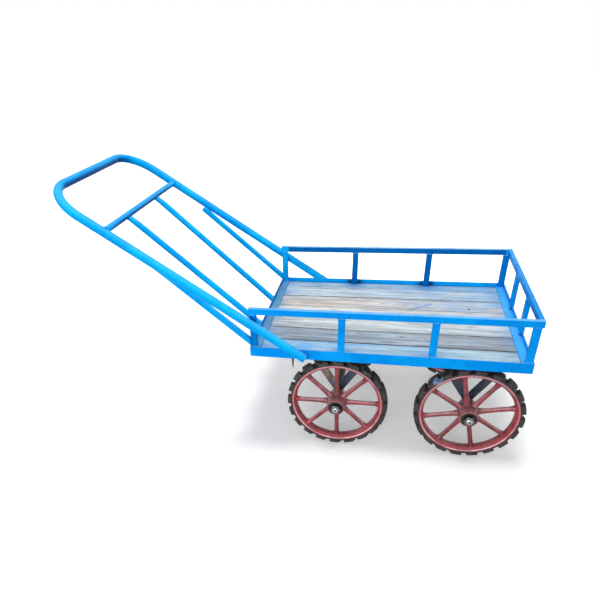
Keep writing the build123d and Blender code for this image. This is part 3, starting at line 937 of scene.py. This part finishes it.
def bead(shape, points, radius, draw, closed=False):
    """A weld bead: a lumpy round seam along points."""
    path = bead_path(points, closed)
    phase = draw.uniform(0, 6.28)
    rings = []
    count = len(path)
    for index, place in enumerate(path):
        if closed:
            ahead = path[(index + 1) % count] - path[index - 1]
        else:
            ahead = path[min(index + 1, count - 1)] - path[max(index - 1, 0)]
        side = ahead.orthogonal().normalized()
        other = ahead.normalized().cross(side)
        ripple = BEAD_RIPPLE * math.sin(index * BEAD_RIPPLE_TURN + phase)
        lump = 1 + ripple + draw.uniform(-BEAD_UNEVENNESS, BEAD_UNEVENNESS)
        if not closed:
            from_tip = min(1, min(index, count - 1 - index) / 2)
            lump *= BEAD_TIP_SHARE + (1 - BEAD_TIP_SHARE) * from_tip
        oval = ring(place, side * radius * lump, other * radius * lump, BEAD_SIDES)
        rings.append([shape.verts.new(point) for point in oval])
    if closed:
        last, first = rings[-1][0].co, rings[0]
        nearest = min(range(BEAD_SIDES), key=lambda step: (last - first[step].co).length)
        rings.append(first[nearest:] + first[:nearest])
    else:
        shape.faces.new(rings[0])
        shape.faces.new(reversed(rings[-1]))
    skin(shape, rings)


def ring(middle, side, other, steps=22):
    """Points of an oval, from its middle and its two half axes."""
    middle, side, other = Vector(middle), Vector(side), Vector(other)
    turns = [2 * math.pi * step / steps for step in range(steps)]
    return [middle + side * math.cos(turn) + other * math.sin(turn) for turn in turns]


def post_welds(shape, node, draw):
    """Beads where one post meets the deck frame, its rail and, at a corner, the strip under it."""
    low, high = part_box(node)
    x0, x1, y0, y1 = low.x, high.x, low.y, high.y
    top, rim = high.z - POST_TOP_SINK, DECK_HIGH.z
    bead(shape, [(x0, y0, top), (x1, y0, top), (x1, y1, top), (x0, y1, top)], POST_TOP_BEAD, draw, True)
    if node.startswith("end_post"):
        y0, y1 = y0 - END_POST_OVERRUN, y1 + END_POST_OVERRUN
        for x in (DECK_HIGH.x - END_FRAME_LIP, DECK_HIGH.x):
            bead(shape, [(x, y0, rim), (x, y1, rim)], END_FOOT_BEAD, draw)
        return
    outer, inner = (y0, y1) if y0 < 0 else (y1, y0)
    lifted = outer + math.copysign(POST_BEAD_LIFT, outer)
    seam = [(x0 - POST_BEAD_OVERRUN, lifted, rim), (x1 + POST_BEAD_OVERRUN, lifted, rim)]
    bead(shape, seam, POST_FOOT_BEAD, draw)
    for x in (x0, x1):
        bead(shape, [(x, outer, rim), (x, outer, low.z + POST_SIDE_STOP)], POST_SIDE_BEAD, draw)
    if node.startswith("corner_post"):
        path = [(x0, outer, low.z), (x0, inner, low.z), (x1, inner, low.z), (x1, outer, low.z)]
        bead(shape, path, CORNER_FOOT_BEAD, draw)


def rail_welds():
    """Beads on all the posts and at both ends of the end rail."""
    shape = bmesh.new()
    draw = random.Random(21)
    for node in nodes:
        if "post" in node:
            post_welds(shape, node, draw)
    low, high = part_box("end_rail")
    x0, x1 = low.x + END_RAIL_INSET, high.x - END_RAIL_INSET
    z0, z1 = low.z + END_RAIL_INSET, high.z - END_RAIL_INSET
    for y in (low.y, high.y):
        bead(shape, [(x0, y, z0), (x1, y, z0), (x1, y, z1), (x0, y, z1)], END_RAIL_BEAD, draw, True)
    return shape


def axis_of(node):
    """The two end points of a straight bar's middle line, from the ends of its mesh."""
    points = [vert.co for vert in nodes[node].data.vertices]
    middle = sum(points, Vector()) / len(points)
    far = max(points, key=lambda point: (point - middle).length)
    along = (far - middle).normalized()
    reach = [(point - middle).dot(along) for point in points]
    margin = (max(reach) - min(reach)) * BAR_END_SHARE
    ends = []
    for limit in (min(reach), max(reach)):
        group = [point for point, at in zip(points, reach) if abs(at - limit) < margin]
        ends.append(sum(group, Vector()) / len(group))
    return ends


def rod_welds(shape, node, draw):
    """Beads round the flattened top and the foot of one rod of the handle."""
    top, foot = sorted(axis_of(node), key=lambda point: point.x)
    along = (foot - top).normalized()
    across = along.cross(Vector((0, 1, 0))).normalized()
    beside = across.cross(along)
    flat, wide = ROD_TOP_HALF_SIZE
    bead(shape, ring(top + along * ROD_TOP_INSET, across * flat, beside * wide), ROD_TOP_BEAD, draw, True)
    foot = foot + along * ((DECK_LOW.x - ROD_FOOT_GAP - foot.x) / along.x)
    oval = ring(foot, (0, ROD_RADIUS, 0), (0, 0, ROD_RADIUS / along.x))
    bead(shape, oval, ROD_FOOT_BEAD, draw, True)


def handle_welds():
    """Beads on the handle: at both ends of the cross bar and the rods, and along the legs' feet."""
    shape = bmesh.new()
    draw = random.Random(33)
    bar_low, bar_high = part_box("handle_cross_bar")
    bar = (bar_low + bar_high) / 2
    bar_radius = (bar_high.z - bar_low.z) / 2
    tube_low, tube_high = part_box("handle_tube")
    rise = Vector((math.sin(HANDLE_SLOPE), 0, math.cos(HANDLE_SLOPE)))
    up_leg = Vector((-math.cos(HANDLE_SLOPE), 0, math.sin(HANDLE_SLOPE)))
    leg_foot = Vector((tube_high.x - PIPE_RADIUS * rise.x, 0, tube_low.z + PIPE_RADIUS * rise.z))
    for side, sign in SIDES.items():
        end_y = bar_high.y if sign > 0 else bar_low.y
        oval = ring((bar.x, end_y - sign * BAR_BEAD_INSET, bar.z), (bar_radius, 0, 0), (0, 0, bar_radius))
        bead(shape, oval, BAR_BEAD, draw, True)
        rod_welds(shape, f"handle_rod_{side}", draw)
        seat = leg_foot + Vector((0, sign * (DECK_HALF_WIDTH + LEG_SEAT_GAP), 0))
        above, below = seat + rise * LEG_SEAT_HALF, seat - rise * LEG_SEAT_HALF
        path = [above + up_leg * LEG_BEAD_ABOVE, above, below, below + up_leg * LEG_BEAD_BELOW]
        bead(shape, path, LEG_BEAD, draw)
    return shape


# Spray gathers at the feet of the side posts, the far angle is darker round the far ones, and painted light
# brightens the far rail's ends
post_feet = {}
for node in nodes:
    if "post" in node:
        low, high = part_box(node)
        foot_z = max(low.z, DECK_HIGH.z - FOOT_MARK_DEPTH)
        post_feet[node] = ((low.x + high.x) / 2, (low.y + high.y) / 2, foot_z)
far_feet = [foot for node, foot in post_feet.items() if node.startswith("side_post_far")]
near_feet = [foot for node, foot in post_feet.items() if node.startswith("side_post_near")]
rail_low, rail_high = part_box("side_rail_far")
rail_z = (rail_low.z + rail_high.z) / 2
far_rail_ends = [(x, rail_low.y, rail_z) for x in (rail_low.x, rail_high.x + LIT_END_OVERRUN)]

# Paint of the frame: colour, dust and sheen on tops, and seed where they differ from the plain blue; the
# darker copies are painted shade, the handle's lighter ones painted light
plain = blue_paint("blue_paint")
# A darker copy of the blue: painted shade on the far posts
shaded = blue_paint("blue_paint_shaded", (0, 94, 172), 1.0, 5.0)
# Lighter copies of the blue: painted light on the handle, its rods, braces and grip, and the far corner post
# at its end
handle = blue_paint("blue_paint_handle", (2, 164, 242), 0.10, 2.0)
gripped = blue_paint("blue_paint_grip", (2, 162, 241), 0.16, 9.0, grip=True)
# A darker copy of the blue: painted shade on two corner posts
shade_dim = blue_paint("blue_paint_dim", (0, 116, 200), 0.30, 10.0)
back = blue_paint("blue_paint_back", (4, 142, 230), 0.45, 7.0)
paints = {
    "hold_strip_handle": blue_paint("blue_paint_pale_strip", (56, 121, 170), 0.36, 3.0),
    "hold_strip_closed": blue_paint("blue_paint_strip", (14, 158, 232), 0.20, 4.0),
    "side_angle_far": blue_paint("blue_paint_dark_feet", (6, 160, 246), 0.30, 6.0, far_feet),
    # painted shade: a darker copy on the handle end's angle
    "end_angle_handle": blue_paint("blue_paint_edge_shaded", (12, 104, 172), 0.30, 8.0),
    # A darker copy: painted shade along the far rail, with painted light round both its ends
    "side_rail_far": blue_paint("blue_paint_far_rail_shaded", (0, 94, 172), 1.0, 5.0, lit_spots=far_rail_ends),
    "side_post_far_1": shaded,
    "side_post_far_2": shaded,
    "corner_post_near_handle": shade_dim,
    "corner_post_far_closed": shade_dim,
    "corner_post_far_handle": handle,
    "end_post_1": back,
    "end_post_2": back,
    "end_rail": blue_paint("blue_paint_end", (4, 138, 222), 0.06, 11.0),
    "handle_tube": gripped,
    "handle_cross_bar": gripped,
    "handle_rod_near": handle,
    "handle_rod_far": handle,
    "handle_brace_near": handle,
    "handle_brace_far": handle,
}
dark = underframe_paint("underframe_paint", 0.40, 0.05)
bare_from = wheel_place["near", "handle"].x
rusty = underframe_paint("underframe_rusty", 0.35, 0.0, 4.0, bare_from, HANGER_DAB)
for node, item in nodes.items():
    material = paints.get(node, plain)
    if node.startswith(("bearer", "cross_member", "tie_stud", "axle_hanger")):
        material = rusty if node == "axle_hanger_near_handle" else dark
    item.data.materials.clear()
    item.data.materials.append(material)

# Planks from the near side: colour, warmth, grain, dark joints, spray at each end, and their marks
wipe = [WIPE_START.lerp(WIPE_END, step / (WIPE_DABS - 1)) for step in range(WIPE_DABS)]
plank_looks = (
    ((193, 213, 217), 0.20, 0.60, (0.95, 0.95), (0.80, 0.30), near_feet),
    ((173, 184, 192), 0.25, 1.00, (0.95, 0.95), (0.16, 0.10)),
    ((206, 215, 217), 0.35, 0.70, (0.70, 0.60), (0.03, 0.12)),
    ((220, 221, 220), 0.50, 0.60, (0.60, 0.30), (0.03, 0.24)),
    ((219, 217, 213), 0.55, 0.75, (0.30, 0.85), (0.05, 0.58), (), wipe, [NAIL_HOLE]),
    ((206, 219, 226), 0.30, 0.65, (0.85, 0.12), (0.20, 0.50), far_feet),
    ((182, 204, 214), 0.30, 0.65, (0.12, 0.40), (0.38, 0.66), far_feet),
)
for number, plank_look in enumerate(plank_looks, start=1):
    node = f"plank_{number}"
    seed = number * PLANK_SEED_STEP
    wood = plank_wood(f"wood_{number}", node, seed, *plank_look)
    piece_from(f"board_{number}", plank(node, seed), [wood], "frame", [node])

# Wheels
maroon = wheel_paint("wheel_paint")
rubber = tyre_rubber("tyre_rubber")
splashed = tyre_rubber("tyre_rubber_splashed", TYRE_SPLASH)
for (side, end), place in wheel_place.items():
    which = f"{side}_{end}"
    body = f"wheel_{which}"
    spokes_turn, lugs_turn = map(math.radians, WHEEL_TURNS[side, end])
    piece_from(f"wheel_casting_{which}", casting(spokes_turn), [maroon], body,
               [f"cast_wheel_{which}"], place)
    tread = tyre(lugs_turn, math.radians(LUG_SLANT[end]))
    cover = splashed if which == "near_closed" else rubber
    piece_from(f"tyre_tread_{which}", tread, [cover], body, [f"tyre_{which}"], place)

# Bearings, nuts and axles
dull_steel = bare_steel("axle_dull", 84, 0.50, 0.7)
steel = bare_steel("axle_steel", 168, 0.28, 0.9)
greasy_steel = bare_steel("nut_greasy", 92, 0.30, 0.9)
seal = seal_rubber("bearing_seal")
piece_from("hub_bearings", bearings(), [seal], "frame", ["wheel_bearings"])
piece_from("hub_nuts", nuts(), [greasy_steel], "frame", ["axle_nuts"])
for end in ENDS:
    piece_from(f"axle_bar_{end}", axle(end), [dull_steel, steel], "frame", [f"axle_{end}"])

# Weld beads
piece_from("rail_weld_beads", rail_welds(), [plain], "frame")
piece_from("handle_weld_beads", handle_welds(), [handle], "frame")


def seen_rays(tree):
    """1 for rays that show the surroundings: from the camera, in reflections and through glass."""
    path = tree.nodes.new("ShaderNodeLightPath")
    seen = path.outputs["Is Camera Ray"]
    for name in ("Is Glossy Ray", "Is Transmission Ray"):
        either = tree.nodes.new("ShaderNodeMath")
        either.operation = "MAXIMUM"
        tree.links.new(seen, either.inputs[0])
        tree.links.new(path.outputs[name], either.inputs[1])
        seen = either.outputs[0]
    return seen


def floor_look():
    """White to the eye, with a soft shadow that fades into the backdrop, but dull for bounced light."""
    look = Look("floor_white", specular=0.0)
    look.coat(srgb(253, 253, 253))
    look.coat(srgb(251, 251, 251), look.ramp(look.noise(0.7), 0.3, 0.7))
    material = look.finish(1.0)
    glow = look.add("ShaderNodeEmission")
    faded = look.ramp(look.distance(FADE_MIDDLE), FADE_START, FADE_STOP, SHADOW_GLOW, 1.0)
    look.feed(glow.inputs["Strength"], faded)
    shown = look.add("ShaderNodeAddShader")
    look.feed(shown.inputs[0], look.shader.outputs[0])
    look.feed(shown.inputs[1], glow.outputs[0])
    dull = look.add("ShaderNodeBsdfDiffuse")
    look.feed(dull.inputs["Color"], srgb(150, 150, 152))
    blend = look.add("ShaderNodeMixShader")
    look.feed(blend.inputs["Fac"], seen_rays(look.tree))
    look.feed(blend.inputs[1], dull.outputs[0])
    look.feed(blend.inputs[2], shown.outputs[0])
    look.feed(look.tree.nodes["Material Output"].inputs["Surface"], blend.outputs[0])
    return material


def add_floor():
    """The pale floor that the cart stands on."""
    bpy.ops.mesh.primitive_plane_add(size=FLOOR_SIZE, location=(0, 0, -FLOOR_DROP))
    floor = bpy.context.object
    floor.name = "floor"
    floor.data.materials.append(floor_look())


def add_surroundings():
    """A soft sky for light, which looks plain white."""
    world = bpy.data.worlds.new("studio")
    bpy.context.scene.world = world
    world.use_nodes = True
    tree = world.node_tree
    sky = tree.nodes["Background"]
    sky.inputs["Color"].default_value = SKY_TINT
    sky.inputs["Strength"].default_value = SKY_STRENGTH
    white = tree.nodes.new("ShaderNodeBackground")
    white.inputs["Color"].default_value = (1, 1, 1, 1)
    white.inputs["Strength"].default_value = 1.0
    blend = tree.nodes.new("ShaderNodeMixShader")
    tree.links.new(seen_rays(tree), blend.inputs["Fac"])
    tree.links.new(sky.outputs[0], blend.inputs[1])
    tree.links.new(white.outputs[0], blend.inputs[2])
    tree.links.new(blend.outputs[0], tree.nodes["World Output"].inputs["Surface"])


def add_lamps():
    """A key lamp overhead, and broad lamps in front and behind."""
    for name, (place, size, energy) in LAMPS.items():
        lamp = bpy.data.lights.new(name, "AREA")
        lamp.shape = "DISK"
        lamp.size = size
        lamp.energy = energy
        holder = bpy.data.objects.new(name, lamp)
        holder.location = place
        holder.rotation_euler = (LAMP_AIM - Vector(place)).to_track_quat("-Z", "Y").to_euler()
        bpy.context.scene.collection.objects.link(holder)


def add_camera():
    """The photograph's camera."""
    lens = bpy.data.cameras.new("camera")
    lens.lens = CAMERA_LENS
    lens.sensor_width = CAMERA_SENSOR
    lens.shift_x, lens.shift_y = CAMERA_SHIFT
    camera = bpy.data.objects.new("camera", lens)
    camera.location = CAMERA_PLACE
    camera.rotation_euler = [math.radians(turn) for turn in CAMERA_TURN]
    bpy.context.scene.collection.objects.link(camera)
    bpy.context.scene.camera = camera


bpy.context.scene.view_settings.view_transform = "Standard"
add_floor()
add_surroundings()
add_lamps()
add_camera()
